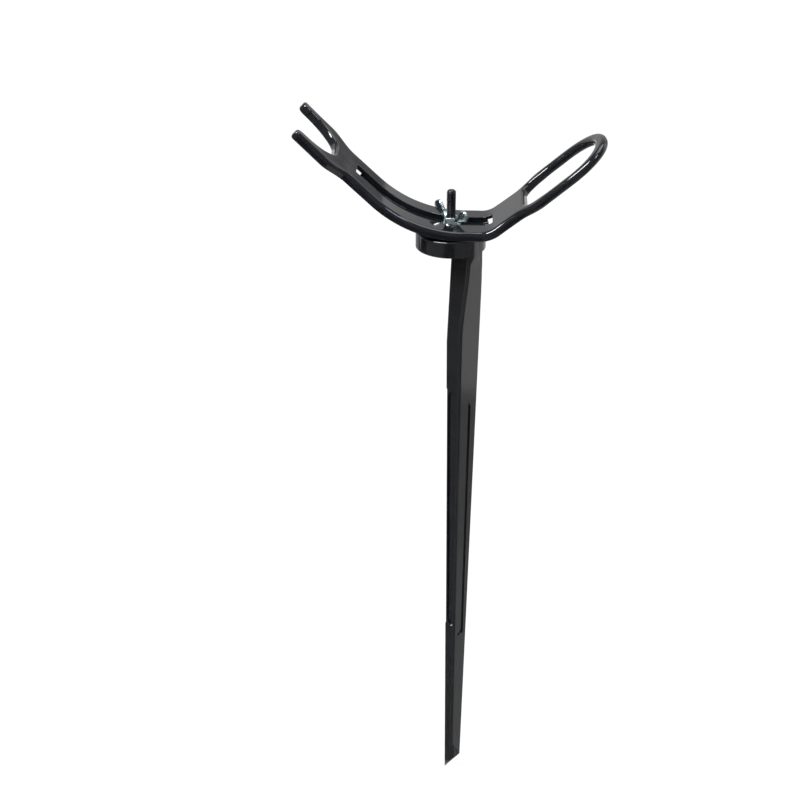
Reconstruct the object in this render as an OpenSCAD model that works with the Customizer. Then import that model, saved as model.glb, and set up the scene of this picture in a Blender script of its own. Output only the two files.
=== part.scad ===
// Ground stake rod holder: a slotted cradle with a fork at one end and a loop at the other,
// clamped by a wing nut to the head of an angle-section ground stake.
// Millimetres, +Z up. The origin is on the bolt axis, level with the point of the stake.

/* [Stake] */
// From the point to the face of the head that the cradle sits on
stake_length = 360; // [280:1:460]
// Wall of both flanges
flange_wall = 2.4; // [1.8:0.1:3.2]
// Width of the near flange where the neck begins
near_flange_top = 14; // [12:0.2:14.4]
// Width of the near flange at the point
near_flange_tip = 6.5; // [5.5:0.1:9]
// Width of the far flange where the neck begins
far_flange_top = 23.2; // [21:0.2:25]
// Width of the far flange at the point
far_flange_tip = 10.8; // [9:0.2:16]
// Height of the flared neck under the head
neck_h = 60; // [40:1:80]
// Height at which the point's slanting cut meets the corner
cut_corner = 15; // [8:1:24]
// Height at which the cut meets the near flange's free edge
cut_near = 26; // [24:1:40]
// Width of the near flange under the head, where its free edge has curved in
near_flange_head = 10; // [9:0.1:11.5]
// Width of the far flange under the head
far_flange_head = 21.9; // [20:0.1:24]
// Length of the shallow panel sunk in each flange
panel_length = 156; // [100:1:180]
// Height of the lower end of the panels above the point
panel_start = 106; // [60:1:110]
// Depth of the panels
panel_depth = 0.9; // [0.3:0.1:1.1]
// Width of the panel in the near flange
near_panel_w = 5; // [3:0.1:5.6]
// Width of the panel in the far flange
far_panel_w = 10; // [6:0.5:11]

/* [Head] */
// Diameter of the head disc
head_d = 38; // [36:0.5:42]
// Thickness of the head disc
head_t = 9; // [8:0.5:12]
// Plate under the cradle
head_plate = 3.2; // [2.4:0.1:4]
// Skirt wall of the head
head_wall = 2.4; // [1.8:0.1:3]
// Diameter of the boss round the bolt
boss_d = 14; // [12.5:0.1:16]
// Thickness of the ribs between boss and skirt
rib_t = 1.8; // [1.2:0.1:2.6]
// Bevel round the top edge of the head
head_bevel = 0.7; // [0.3:0.1:1.2]

/* [Fasteners] */
// Thread diameter of the bolt
bolt_d = 5; // [4:0.1:5.4]
// Bolt length under its head
bolt_length = 28; // [24:1:40]
// Width across the flats of the bolt head
hex_flats = 8; // [7:0.1:8.6]
// Height of the bolt head
hex_h = 3.5; // [2.8:0.1:4]
// Outer diameter of the washer
washer_d = 10.4; // [9:0.1:10.6]
// Thickness of the washer
washer_t = 1; // [0.8:0.1:1.4]
// Span of the wings
nut_span = 25.8; // [22:0.2:30]
// Height of the wing nut
nut_h = 9.4; // [8.6:0.1:11]
// Diameter of the nut's hub at its foot
nut_foot_d = 9.4; // [8.6:0.1:10]
// Diameter of the nut's hub at its top
nut_crown_d = 7.6; // [7:0.1:8.6]
// Height of the nut's hub
nut_hub_h = 3.8; // [3.2:0.1:4.6]
// Thickness of the wings
wing_t = 1.8; // [1.2:0.1:2.2]
// Width of each wing's lobe
wing_lobe = 6.4; // [5:0.1:7.5]

/* [Cradle] */
// Width of the strip between fork and loop
strip_w = 34.6; // [32:0.2:37]
// Height of the floor's upper face above the seat
floor_h = 4.6; // [4.4:0.1:5.2]
// Thickness of the floor plate
floor_t = 1.7; // [1.4:0.1:2.2]
// Width of the rim that runs down along each side
rim_w = 2.6; // [2:0.1:3.2]
// Radius of the curved part, measured at its underside
arc_r = 71; // [66:1:78]
// Angle that the curved part turns through
arc_angle = 43.5; // [42:0.5:46]
// Length of the level part on the seat
level_l = 9; // [7:0.5:12]
// Distance from the bolt to the start of the curve
curve_start = 7; // [6:0.5:8]
// Slope of the prongs
prong_angle = 45.5; // [44:0.5:50]
// Radius of the bend up to the loop
bend_r = 17; // [14:0.5:20]
// Slope of the part between bend and loop
rise_angle = 38; // [35:0.5:40]
// Slope of the loop
loop_angle = 42; // [40:0.5:46]

/* [Slot] */
// Width of the sunk track for the washer
track_w = 11; // [10.8:0.1:12]
// Depth of the sunk track
track_depth = 2.8; // [2.4:0.1:3]
// Width of the slot for the bolt
slot_w = 5.8; // [5.6:0.1:6.4]
// Wall at each side of the track
track_wall = 1.6; // [1.3:0.1:2.2]
// Distance from the bolt to the track's fork end
slot_start = 51; // [46:0.5:53]
// Distance from the bolt to the track's loop end
slot_end = 22.5; // [21:0.5:23.5]
// Length at each end where the track is open underneath
open_end = 2.8; // [2:0.1:3.6]

/* [Fork and loop] */
// Outer width of the fork
fork_w = 51; // [48:0.5:54]
// Width of the gap between the prongs
fork_gap = 39; // [35:0.2:41]
// Distance from the bolt to the floor of the fork's gap
fork_root = 62.5; // [60:0.5:66]
// Distance from the bolt to the tips of the prongs
fork_reach = 82; // [79:0.5:90]
// Thickness of the solid bar across the root of the fork
root_bar = 3; // [2:0.5:5]
// Corner radius in the fork's gap
fork_corner_r = 6; // [4:0.5:9]
// Radius that takes the inner corner off each prong
prong_round = 5; // [2:0.5:6]
// Outer width of the loop
loop_w = 39.5; // [38:0.5:44]
// Width of the bar of the loop
loop_bar = 4.8; // [4.2:0.1:6]
// Distance from the bolt to the far end of the loop
loop_reach = 81.5; // [79:0.5:88]
// Distance from the bolt to the crotch of the loop
loop_root = 39.5; // [38:0.5:41]

/* [Hidden] */
$fn = 64;
plastic = "#1c1d20";
steel_black = "#2a2a2c";
zinc = "#b9c2c4";
rib_drop = 1;
plate_bite = 0.6;
seat_gap = 0.05;
bolt_clearance = 0.1;
thread_clearance = 0.05;
hex_clearance = 0.1;
eps = 0.01;
over = 1;

// Stake: the flanges meet at a corner line that leans in towards the point
flange_turn = 135;
corner_top = [16.3, -8];
corner_tip = [9.7, -4.8];
head_bottom = stake_length - head_t;
plate_bottom = stake_length - head_plate;
neck_z = head_bottom - neck_h;
waist_rise = 12;
waist_z = neck_z + waist_rise;
waist_steps = 8;
rim_follow = 28;
toward_far = [cos(flange_turn), sin(flange_turn)];
toward_near = [-sin(flange_turn), cos(flange_turn)];
corner_shift = corner_top - corner_tip;
corner_far = corner_shift * toward_far / neck_z;
corner_near = corner_shift * toward_near / neck_z;
near_lean = atan(-corner_far);
far_lean = atan(-corner_near);
blade_low = -2;
blade_high = plate_bottom + plate_bite;
skin = 1;
panel_end = panel_start + panel_length;
far_gap = 0.4;
panel_place = 0.56;
near_panel_tilt = atan((near_at(panel_end) - near_at(panel_start)) * panel_place / panel_length + corner_near);
free_edge = 2;
far_panel_tilt = atan((far_at(panel_end) - far_at(panel_start)) / panel_length + corner_far);
edge_rebate = 0.5;

function mix(a, b, t) = a + (b - a) * t;
function smooth(t) = let (u = min(1, max(0, t))) u * u * (3 - 2 * u);
function near_at(z) = mix(near_flange_tip, near_flange_top, z / waist_z);
function far_at(z) = mix(far_flange_tip, far_flange_top, z / neck_z);

// A frame on the outer face of the near flange: first axis across the flange, second up, third inwards
module on_near_face() {
  translate([corner_tip[0], corner_tip[1], 0]) rotate([0, 0, flange_turn])
    rotate([0, -near_lean, 0]) rotate([90, 0, 90]) children();
}

// A frame on the outer face of the far flange, with the third axis outwards
module on_far_face() {
  translate([corner_tip[0], corner_tip[1], 0]) rotate([0, 0, flange_turn])
    rotate([far_lean + 90, 0, 0]) children();
}

// The lower edges of the two plates make the chisel point
module near_plate() {
  on_near_face() translate([0, 0, -skin]) linear_extrude(flange_wall + skin) polygon([
    [corner_near * cut_corner - skin, cut_corner],
    [corner_near * cut_corner, cut_corner],
    [corner_near * cut_near + near_at(cut_near), cut_near],
    for (k = [0:waist_steps]) let (z = mix(waist_z, head_bottom, k / waist_steps))
      [corner_near * z + mix(near_flange_top, near_flange_head, smooth(k / waist_steps)), z],
    [corner_near * blade_high + near_flange_head, blade_high],
    [corner_near * blade_high - skin, blade_high]]);
}

module far_plate() {
  on_far_face() translate([0, 0, -flange_wall]) linear_extrude(flange_wall + skin) polygon([
    [corner_far * cut_corner - skin, cut_corner],
    [corner_far * cut_corner, cut_corner],
    [far_at(0), 0],
    [corner_far * neck_z + far_flange_top, neck_z],
    [corner_far * head_bottom + far_flange_head, head_bottom],
    [corner_far * blade_high + far_flange_head, blade_high],
    [corner_far * blade_high - skin, blade_high]]);
}

// The outline of a panel with round ends
module panel_shape(width, length) {
  translate([-width / 2, width / 2]) square([width, length - width]);
  for (y = [width / 2, length - width / 2]) translate([0, y]) circle(d = width);
}

module near_panel() {
  middle = corner_near * panel_start + near_at(panel_start) * panel_place;
  on_near_face() translate([middle, panel_start, -skin]) rotate(-near_panel_tilt)
    linear_extrude(panel_depth + skin) panel_shape(near_panel_w, panel_length);
}

// The far panel lies beside a shallow rebate that thins the free edge over the same height
module far_panel() {
  edge = corner_far * panel_start + far_at(panel_start) - free_edge;
  on_far_face() translate([edge - far_panel_w / 2, panel_start, -flange_wall - skin]) rotate(-far_panel_tilt)
    linear_extrude(panel_depth + skin) panel_shape(far_panel_w, panel_length);
  on_far_face() translate([edge + far_gap, panel_start, -flange_wall - skin]) rotate(-far_panel_tilt)
    linear_extrude(edge_rebate + skin) square([free_edge * 2, panel_length]);
}

// Both outer faces are trimmed flat, so the corner between them is one clean line
module outside_of_angle() {
  reach = 2 * head_d;
  tall = blade_high - blade_low + 2 * over;
  on_near_face() translate([-reach, blade_low - over, -reach]) cube([2 * reach, tall, reach]);
  on_far_face() translate([-reach, blade_low - over, 0]) cube([2 * reach, tall, reach]);
}

// Close below the head the neck follows its rim, and it runs up inside the skirt to the plate
module neck_limit() {
  translate([0, 0, blade_low]) cylinder(d = 2 * head_d, h = head_bottom - rim_follow - blade_low);
  translate([0, 0, head_bottom - rim_follow - over]) cylinder(d = head_d, h = rim_follow + over);
  translate([0, 0, head_bottom - over]) cylinder(d = head_d - head_wall, h = blade_high - head_bottom);
}

module blade() {
  intersection() {
    difference() {
      union() {
        near_plate();
        far_plate();
      }
      outside_of_angle();
      near_panel();
      far_panel();
    }
    neck_limit();
  }
}

module head() {
  difference() {
    translate([0, 0, head_bottom]) cylinder(d = head_d, h = head_t - head_bevel);
    translate([0, 0, head_bottom - over])
      cylinder(d = head_d - 2 * head_wall, h = head_t - head_plate + over);
  }
  translate([0, 0, stake_length - head_bevel])
    cylinder(d1 = head_d, d2 = head_d - 2 * head_bevel, h = head_bevel);
  translate([0, 0, head_bottom]) cylinder(d = boss_d, h = head_t - head_plate / 2);
  for (turn = [0, 90, 180]) rotate([0, 0, turn + flange_turn])
    translate([0, -rib_t / 2, head_bottom + rib_drop])
      cube([(head_d - head_wall) / 2, rib_t, head_t - head_plate]);
}

// Bolt: its head sits in a hexagonal pocket, so it can't turn
hex_turn = flange_turn - 120;
bolt_seat = head_bottom + hex_h;
bolt_top = bolt_seat + bolt_length;
bolt_chamfer = 0.8;

module hexagon(flats, h) { rotate([0, 0, hex_turn]) cylinder(d = flats / cos(30), h = h, $fn = 6); }

// The bolt goes in from below, so the pocket's way in also grazes the far flange
module bolt_way() {
  translate([0, 0, head_bottom - over]) cylinder(d = bolt_d + 2 * bolt_clearance, h = head_t + 2 * over);
  translate([0, 0, bolt_seat - hex_h - bolt_length])
    hexagon(hex_flats + 2 * hex_clearance, hex_h + bolt_length);
}

module stake() {
  color(plastic) difference() {
    union() {
      head();
      blade();
    }
    bolt_way();
  }
}

module bolt() {
  color(steel_black) {
    translate([0, 0, bolt_seat - hex_h]) hexagon(hex_flats, hex_h);
    translate([0, 0, bolt_seat - eps]) cylinder(d = bolt_d, h = bolt_length - bolt_chamfer + eps);
    translate([0, 0, bolt_top - bolt_chamfer])
      cylinder(d1 = bolt_d, d2 = bolt_d - 2 * bolt_chamfer, h = bolt_chamfer);
  }
}

// Washer: it lies in the track, clear of the curve that falls away under its middle
ledge_h = floor_h - track_depth;
ledge_r = arc_r - ledge_h;
curve_at_bolt = arc_r - sqrt(pow(ledge_r, 2) - pow(curve_start + washer_d / 2, 2));
washer_z = stake_length + seat_gap + curve_at_bolt + seat_gap;

module washer() {
  color(zinc) translate([0, 0, washer_z]) difference() {
    cylinder(d = washer_d, h = washer_t);
    translate([0, 0, -over]) cylinder(d = bolt_d + 2 * bolt_clearance, h = washer_t + 2 * over);
  }
}

// Wing nut: a tapered hub with two wings that spread and rise
nut_z = washer_z + washer_t;
nut_turn = 128;
wing_root = nut_crown_d * 0.4;
wing_foot = 1.6;
wing_step = 0.2;
lobe_low = -35;
lobe_high = 125;

module wing() {
  lobe_x = (nut_span - wing_lobe) / 2;
  lobe_z = nut_h - wing_lobe / 2;
  rotate([90, 0, 0]) translate([0, 0, -wing_t / 2]) linear_extrude(wing_t) union() {
    translate([lobe_x, lobe_z]) circle(d = wing_lobe);
    polygon([[wing_root, wing_foot], [nut_foot_d / 2, wing_foot],
             [lobe_x + wing_lobe / 2 * cos(lobe_low), lobe_z + wing_lobe / 2 * sin(lobe_low)],
             [lobe_x + wing_lobe / 2 * cos(lobe_high), lobe_z + wing_lobe / 2 * sin(lobe_high)],
             [wing_root, nut_hub_h - wing_step]]);
  }
}

module wing_nut() {
  color(zinc) translate([0, 0, nut_z]) rotate([0, 0, nut_turn]) difference() {
    union() {
      cylinder(d1 = nut_foot_d, d2 = nut_crown_d, h = nut_hub_h);
      for (side = [0, 180]) rotate([0, 0, side]) wing();
    }
    translate([0, 0, -over]) cylinder(d = bolt_d + 2 * thread_clearance, h = nut_h);
  }
}

// Cradle: a side profile carried across a plan outline
curve_steps = 24;
bend_steps = 8;
arc_l = arc_r * arc_angle * PI / 180;
bend_l = bend_r * rise_angle * PI / 180;
loop_bend_r = 40;
loop_bend_l = loop_bend_r * (loop_angle - rise_angle) * PI / 180;
rise_l = 22;
tail_l = 60;
crease_l = 22;
crease_bend_l = 3;
left_runs = [[arc_l, arc_angle, curve_steps], [crease_l, 0, 1],
             [crease_bend_l, prong_angle - arc_angle, 1], [tail_l, 0, 1]];
right_runs = [[level_l, 0, 1], [bend_l, rise_angle, bend_steps], [rise_l, 0, 1],
              [loop_bend_l, loop_angle - rise_angle, 2], [tail_l, 0, 1]];

// Points [x, z, slope] along one run that starts at p with slope a and turns steadily
function run_points(p, a, l, turn, n) = [
  for (k = [1:n]) let (t = k / n, r = turn == 0 ? 0 : l / (turn * PI / 180))
    turn == 0 ? [p[0] + l * t * cos(a), p[1] + l * t * sin(a), a]
              : [p[0] + r * (sin(a + turn * t) - sin(a)), p[1] + r * (cos(a) - cos(a + turn * t)),
                 a + turn * t]];
function walk(p, a, runs, i = 0) = i >= len(runs) ? [] :
  let (q = run_points(p, a, runs[i][0], runs[i][1], runs[i][2]), e = q[len(q) - 1])
    concat(q, walk([e[0], e[1]], a + runs[i][1], runs, i + 1));
function flip(q) = [for (i = [len(q) - 1:-1:0]) [-q[i][0], q[i][1], -q[i][2]]];

// The underside runs from the fork, round the curve, along the seat and up to the loop
left_path = flip(walk([-curve_start, 0], 0, left_runs));
right_path = walk([curve_start, 0], 0, right_runs);
path = concat(left_path, [[curve_start, 0, 0]], right_path);

profile_top = max([for (q = path) q[1]]) + floor_h + 2 * over;

function side_band(low, high) = concat(
  [for (q = path) [q[0] - low * sin(q[2]), q[1] + low * cos(q[2])]],
  [for (i = [len(path) - 1:-1:0]) let (q = path[i]) [q[0] - high * sin(q[2]), q[1] + high * cos(q[2])]]);

module band(low, high, width) {
  rotate([90, 0, 0]) linear_extrude(width, center = true) polygon(side_band(low, high));
}

// Half of the outer width at a distance x from the bolt, drawn in by an inset
flare_near = 54;
flare_far = 66;
spread_near = 37;
spread_far = 50;
loop_centre = 60;
plan_steps = 40;
end_steps = 24;
side_steps = 8;
corner_steps = 6;
function fork_half(x) = mix(strip_w, fork_w, smooth((-x - flare_near) / (flare_far - flare_near))) / 2;
function loop_half(x) = mix(strip_w, loop_w, smooth((x - spread_near) / (spread_far - spread_near))) / 2;
function half_width(x) = x < 0 ? fork_half(x) : loop_half(x);

function plan_side(inset) = concat(
  [for (k = [0:plan_steps]) let (x = mix(-fork_reach, loop_centre, k / plan_steps))
    [x, half_width(x) - inset]],
  [for (k = [1:end_steps]) let (a = 90 - 90 * k / end_steps)
    [loop_centre + (loop_reach - loop_centre - inset) * cos(a), (loop_w / 2 - inset) * sin(a)]]);
function both_sides(q) = concat(q, [for (i = [len(q) - 1:-1:0]) [q[i][0], -q[i][1]]]);

module plan(inset = 0) { polygon(both_sides(plan_side(inset))); }

module fork_gap_shape() {
  r = fork_corner_r;
  translate([-fork_reach - over, -fork_gap / 2]) square([fork_reach + over - fork_root - r, fork_gap]);
  translate([-fork_root - r - over, -fork_gap / 2 + r]) square([r + over, fork_gap - 2 * r]);
  for (y = [-1, 1]) translate([-fork_root - r, y * (fork_gap / 2 - r)]) circle(r = r);
  for (side = [0, 1]) mirror([0, side]) difference() {
    translate([-fork_reach - over, fork_gap / 2 - over]) square(prong_round + over);
    translate([-fork_reach + prong_round, fork_gap / 2 + prong_round]) circle(r = prong_round);
  }
}

loop_inner_w = loop_w - 2 * loop_bar;
crotch_w = 21;
crotch_r = 4;
function loop_inner_side() = concat(
  [for (k = [0:corner_steps]) let (a = 180 - 90 * k / corner_steps)
    [loop_root + crotch_r + crotch_r * cos(a), crotch_w / 2 - crotch_r + crotch_r * sin(a)]],
  [for (k = [1:side_steps]) let (t = k / side_steps, x = mix(loop_root + crotch_r, spread_far, t))
    [x, mix(crotch_w, loop_inner_w, smooth(t)) / 2]],
  [for (k = [0:end_steps]) let (a = 90 - 90 * k / end_steps)
    [loop_centre + (loop_reach - loop_bar - loop_centre) * cos(a), loop_inner_w / 2 * sin(a)]]);

module loop_gap_shape() { polygon(both_sides(loop_inner_side())); }

track_corner_r = 3;
channel_w = track_w + 2 * track_wall;

// The opening in the floor, with rounded corners
module track_shape() {
  r = track_corner_r;
  translate([-slot_start, -track_w / 2 + r]) square([slot_start + slot_end, track_w - 2 * r]);
  translate([-slot_start + r, -track_w / 2]) square([slot_start + slot_end - 2 * r, track_w]);
  for (x = [-slot_start + r, slot_end - r], y = [-1, 1]) translate([x, y * (track_w / 2 - r)]) circle(r = r);
}

// Between the open ends the track has walls and a ledge at each side of the slot
module ledge_shape(width) {
  translate([-slot_start + open_end, -width / 2]) square([slot_start + slot_end - 2 * open_end, width]);
}

// A plan shape carried straight up past the whole side profile
module upright() { translate([0, 0, -over]) linear_extrude(profile_top) children(); }

// A thin floor with a rim down each side, solid in the prongs and in the bar of the loop
module cradle_solid() {
  difference() {
    union() {
      intersection() {
        band(floor_h - floor_t, floor_h, fork_w);
        upright() plan();
      }
      intersection() {
        band(0, floor_h - floor_t / 2, fork_w);
        upright() difference() {
          plan();
          plan(rim_w);
        }
      }
      intersection() {
        band(0, floor_h - floor_t / 2, fork_w);
        upright() intersection() {
          plan();
          union() {
            translate([spread_near, -loop_w / 2]) square([loop_reach, loop_w]);
            translate([-fork_reach, -fork_w / 2]) square([fork_reach - fork_root + root_bar, fork_w]);
          }
        }
      }
    }
    upright() track_shape();
  }
  difference() {
    intersection() {
      band(0, floor_h - floor_t / 2, fork_w);
      upright() ledge_shape(channel_w);
    }
    intersection() {
      band(ledge_h, floor_h + over, fork_w);
      upright() ledge_shape(track_w);
    }
    upright() ledge_shape(slot_w);
  }
}

module cradle() {
  color(plastic) translate([0, 0, stake_length + seat_gap]) difference() {
    cradle_solid();
    upright() fork_gap_shape();
    upright() loop_gap_shape();
  }
}

stake();
bolt();
washer();
wing_nut();
cradle();
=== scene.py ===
import math
import bpy
import numpy as np
from mathutils import Matrix, Vector
from mathutils.geometry import delaunay_2d_cdt


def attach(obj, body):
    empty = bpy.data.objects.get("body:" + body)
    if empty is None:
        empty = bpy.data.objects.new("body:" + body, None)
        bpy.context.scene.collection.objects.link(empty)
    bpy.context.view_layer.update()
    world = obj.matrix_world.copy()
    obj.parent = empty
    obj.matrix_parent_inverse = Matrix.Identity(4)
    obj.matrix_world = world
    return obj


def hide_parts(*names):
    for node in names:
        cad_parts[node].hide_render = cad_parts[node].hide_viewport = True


# Dresses the ground stake rod holder. Shapes are worked out in millimetres and stored in metres.
# Each piece has a dictionary of sizes, c in its functions, and the cradle has one of edges, e.
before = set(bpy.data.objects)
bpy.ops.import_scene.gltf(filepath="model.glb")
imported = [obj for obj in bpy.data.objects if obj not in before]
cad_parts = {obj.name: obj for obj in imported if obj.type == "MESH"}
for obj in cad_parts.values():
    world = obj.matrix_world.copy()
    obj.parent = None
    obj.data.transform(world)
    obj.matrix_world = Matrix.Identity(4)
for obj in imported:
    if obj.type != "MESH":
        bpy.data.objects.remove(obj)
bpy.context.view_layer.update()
millimetre = 0.001
tiny = 1e-12  # keeps a division by a length away from zero
noLattice = 100.0  # a spacing wider than any section, so that its fill gets no points inside


def linearFromHex(text):  # each sRGB channel turned to linear by the sRGB curve
    channel = np.array([int(text[i:i + 2], 16) for i in (1, 3, 5)]) / 255
    linear = np.where(channel <= 0.04045, channel / 12.92, ((channel + 0.055) / 1.055) ** 2.4)
    return (*linear, 1.0)


def addNode(tree, kind, settings=None, links=None):  # a node with its settings, and what feeds its sockets
    node = tree.nodes.new(kind)
    for name, value in (settings or {}).items():
        if isinstance(name, str) and hasattr(node, name):
            setattr(node, name, value)
        else:
            node.inputs[name].default_value = value
    for name, source in (links or {}).items():
        tree.links.new(source, node.inputs[name])
    return node


def emptyMaterial(name):
    material = bpy.data.materials.new(name)
    material.use_nodes = True
    material.node_tree.nodes.clear()
    return material, material.node_tree


def addShader(tree, settings, links):  # a Principled shader wired to the output
    shader = addNode(tree, "ShaderNodeBsdfPrincipled", settings, links)
    addNode(tree, "ShaderNodeOutputMaterial", links={"Surface": shader.outputs["BSDF"]})


def spread(tree, value, low, high):  # noise, which mostly lies between 0.3 and 0.7, mapped to a range
    ends = {"From Min": 0.3, "From Max": 0.7, "To Min": low, "To Max": high}
    return addNode(tree, "ShaderNodeMapRange", ends, {"Value": value}).outputs["Result"]


def addObject(name, data):
    thing = bpy.data.objects.new(name, data)
    bpy.context.scene.collection.objects.link(thing)
    return thing


def smoothStep(t):  # 3t squared less 2t cubed, held between 0 and 1
    t = np.clip(t, 0, 1)
    return t * t * (3 - 2 * t)


def mix(a, b, t):  # a at t 0 and b at t 1
    return a + (b - a) * t


def unit(vectors):
    return vectors / np.linalg.norm(vectors, axis=1, keepdims=True)


def gridFaces(index, closeRows=False, closeColumns=False):  # quads between neighbours in a grid
    if closeRows:
        index = np.concatenate([index, index[:1]])
    if closeColumns:
        index = np.concatenate([index, index[:, :1]], axis=1)
    return np.stack([index[:-1, :-1], index[:-1, 1:], index[1:, 1:], index[1:, :-1]], -1).reshape(-1, 4)


def areaNormals(points, quads, triangles):  # at each vertex, the sum of its faces' normals weighted by area
    normals = np.zeros_like(points)
    for faces, starts, ends in ((quads, (0, 1), (2, 3)), (triangles, (0, 0), (1, 2))):
        sides = [points[faces[:, end]] - points[faces[:, start]] for start, end in zip(starts, ends)]
        across = np.cross(*sides)
        for corner in range(faces.shape[1]):
            np.add.at(normals, faces[:, corner], across)
    return normals / np.maximum(np.linalg.norm(normals, axis=1, keepdims=True), tiny)


def shellVolume(points, quads, triangles):  # a sixth of the sum of the corners' triple products
    faces = np.concatenate([quads[:, [0, 1, 2]], quads[:, [0, 2, 3]], triangles])
    a, b, c = points[faces].transpose(1, 0, 2)
    return (a * np.cross(b, c)).sum() / 6


def makePiece(name, parts, material, node, body):  # parts: shells of (points, quads, triangles)
    points, quads, triangles, normals, volumes, start = [], [], [], [], [], 0
    for shellPoints, shellQuads, shellTriangles in parts:
        shellQuads = np.asarray(shellQuads, int).reshape(-1, 4)
        shellTriangles = np.asarray(shellTriangles, int).reshape(-1, 3)
        points.append(shellPoints)
        normals.append(areaNormals(shellPoints, shellQuads, shellTriangles))
        volumes.append(round(shellVolume(shellPoints, shellQuads, shellTriangles)))
        quads.append(shellQuads + start)
        triangles.append(shellTriangles + start)
        start += len(shellPoints)
    mesh = bpy.data.meshes.new(name)
    faces = np.concatenate(quads).tolist() + np.concatenate(triangles).tolist()
    mesh.from_pydata((np.concatenate(points) * millimetre).tolist(), [], faces)
    mesh.update()
    mesh.shade_smooth()
    mesh.normals_split_custom_set_from_vertices(np.concatenate(normals).tolist())
    mesh.materials.append(material)
    piece = addObject(name, mesh)
    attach(piece, body)
    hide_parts(node)
    print(name, len(mesh.vertices), "vertices,", len(faces), "faces, shells of", volumes, "mm3")


def insideLoops(points, loops):  # inside: a ray from the point crosses the loops an odd number of times
    crossings = np.zeros(len(points), int)
    for loop in loops:
        a, b = loop, np.roll(loop, -1, axis=0)
        spans = (a[None, :, 1] > points[:, 1:2]) != (b[None, :, 1] > points[:, 1:2])
        rise = np.where(b[:, 1] == a[:, 1], tiny, b[:, 1] - a[:, 1])
        meets = (b[:, 0] - a[:, 0]) * (points[:, 1:2] - a[None, :, 1]) / rise + a[:, 0]
        crossings += (spans & (points[:, :1] < meets)).sum(1)
    return crossings % 2 == 1


def fillLoops(loops, spacing):  # triangles between closed loops, with a lattice of points inside
    edgePoints = np.concatenate(loops)
    low, high = edgePoints.min(0), edgePoints.max(0)
    lattice = np.stack(np.meshgrid(np.arange(low[0] + spacing / 2, high[0], spacing),
                                   np.arange(low[1] + spacing / 2, high[1], spacing)), -1).reshape(-1, 2)
    lattice = lattice[insideLoops(lattice, loops)]
    if len(lattice):  # points too near the outline would make slivers
        nearest = np.min(np.linalg.norm(lattice[:, None] - edgePoints[None], axis=2), axis=1)
        lattice = lattice[nearest > 0.6 * spacing]
    allPoints = np.concatenate([edgePoints, lattice])
    edges, start = [], 0
    for loop in loops:
        number = np.arange(len(loop))
        edges += np.stack([start + number, start + np.roll(number, -1)], 1).tolist()
        start += len(loop)
    _, _, faces, origin, _, _ = delaunay_2d_cdt([Vector(p) for p in allPoints], edges, [], 0, 1e-7)
    source = np.array([o[0] if len(o) else -1 for o in origin])
    triangles = source[np.array([f for f in faces if len(f) == 3])]
    triangles = triangles[(triangles >= 0).all(1)]
    return lattice, triangles[insideLoops(allPoints[triangles].mean(1), loops)]


def closedCurve(points, spacing, turn=0.25):  # a closed line resampled, no step turning more radians
    fineStep, reach = 0.08, 3  # a bend is measured over so many fine steps to each side
    ahead = np.roll(points, -1, axis=0)
    length = np.linalg.norm(ahead - points, axis=1)
    points, length = points[length > 1e-6], length[length > 1e-6]
    station = np.concatenate([[0], np.cumsum(length)])
    fine = np.arange(0, station[-1], fineStep)
    loop = np.concatenate([points, points[:1]])
    dense = np.stack([np.interp(fine, station, loop[:, k]) for k in (0, 1)], 1)
    tangent = unit(np.roll(dense, -reach, axis=0) - np.roll(dense, reach, axis=0))
    change = np.roll(tangent, -reach, axis=0) - np.roll(tangent, reach, axis=0)
    bend = np.linalg.norm(change, axis=1) / (2 * reach * fineStep)
    weight = np.maximum(1 / spacing, bend / turn)
    wide = np.stack([np.roll(weight, k) for k in range(-2 * reach, 2 * reach + 1)]).max(0)
    count = np.concatenate([[0], np.cumsum(wide * fineStep)])
    number = int(math.ceil(count[-1]))
    where = np.interp(np.arange(number) / number * count[-1], count, np.arange(len(count)))
    ring = np.arange(len(dense) + 1)
    place, along = (np.stack([np.interp(where, ring, np.append(row, row[0])) for row in pair.T], 1)
                    for pair in (dense, tangent))
    return place, unit(along)[:, ::-1] * [1, -1]  # the normal lies to the right of the way round


def edgeRows(kind, level, radius, steps, flat=0.3):  # rows (out, height) of a rounded edge, going down
    radius = np.reshape(radius, (-1, 1))
    turn = np.linspace(0, math.pi / 2, steps + 1)[None, :]
    if kind == "bottom":  # a convex edge over a face that looks down
        out, height = -radius * (1 - np.cos(turn)), level + radius * (1 - np.sin(turn))
        return np.column_stack([out, out[:, -1] - flat]), np.column_stack([height, height[:, -1]])
    side = -1 if kind == "top" else 1  # a convex edge below a top face, or a fillet below a ceiling
    out, height = side * radius * (1 - np.sin(turn)), level - radius * (1 - np.cos(turn))
    return np.column_stack([out[:, 0] + side * flat, out]), np.column_stack([height[:, 0], height])


def ringRows(curve, normal, rows):  # the flat place (along, across, height) of every ring of a closed curve
    out, height = (np.concatenate([row[k] for row in rows], 1)[:, :, None] for k in (0, 1))
    place = curve[:, None, :] + out * normal[:, None, :]
    return np.concatenate([place, np.broadcast_to(height, (*place.shape[:2], 1))], 2)


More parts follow.
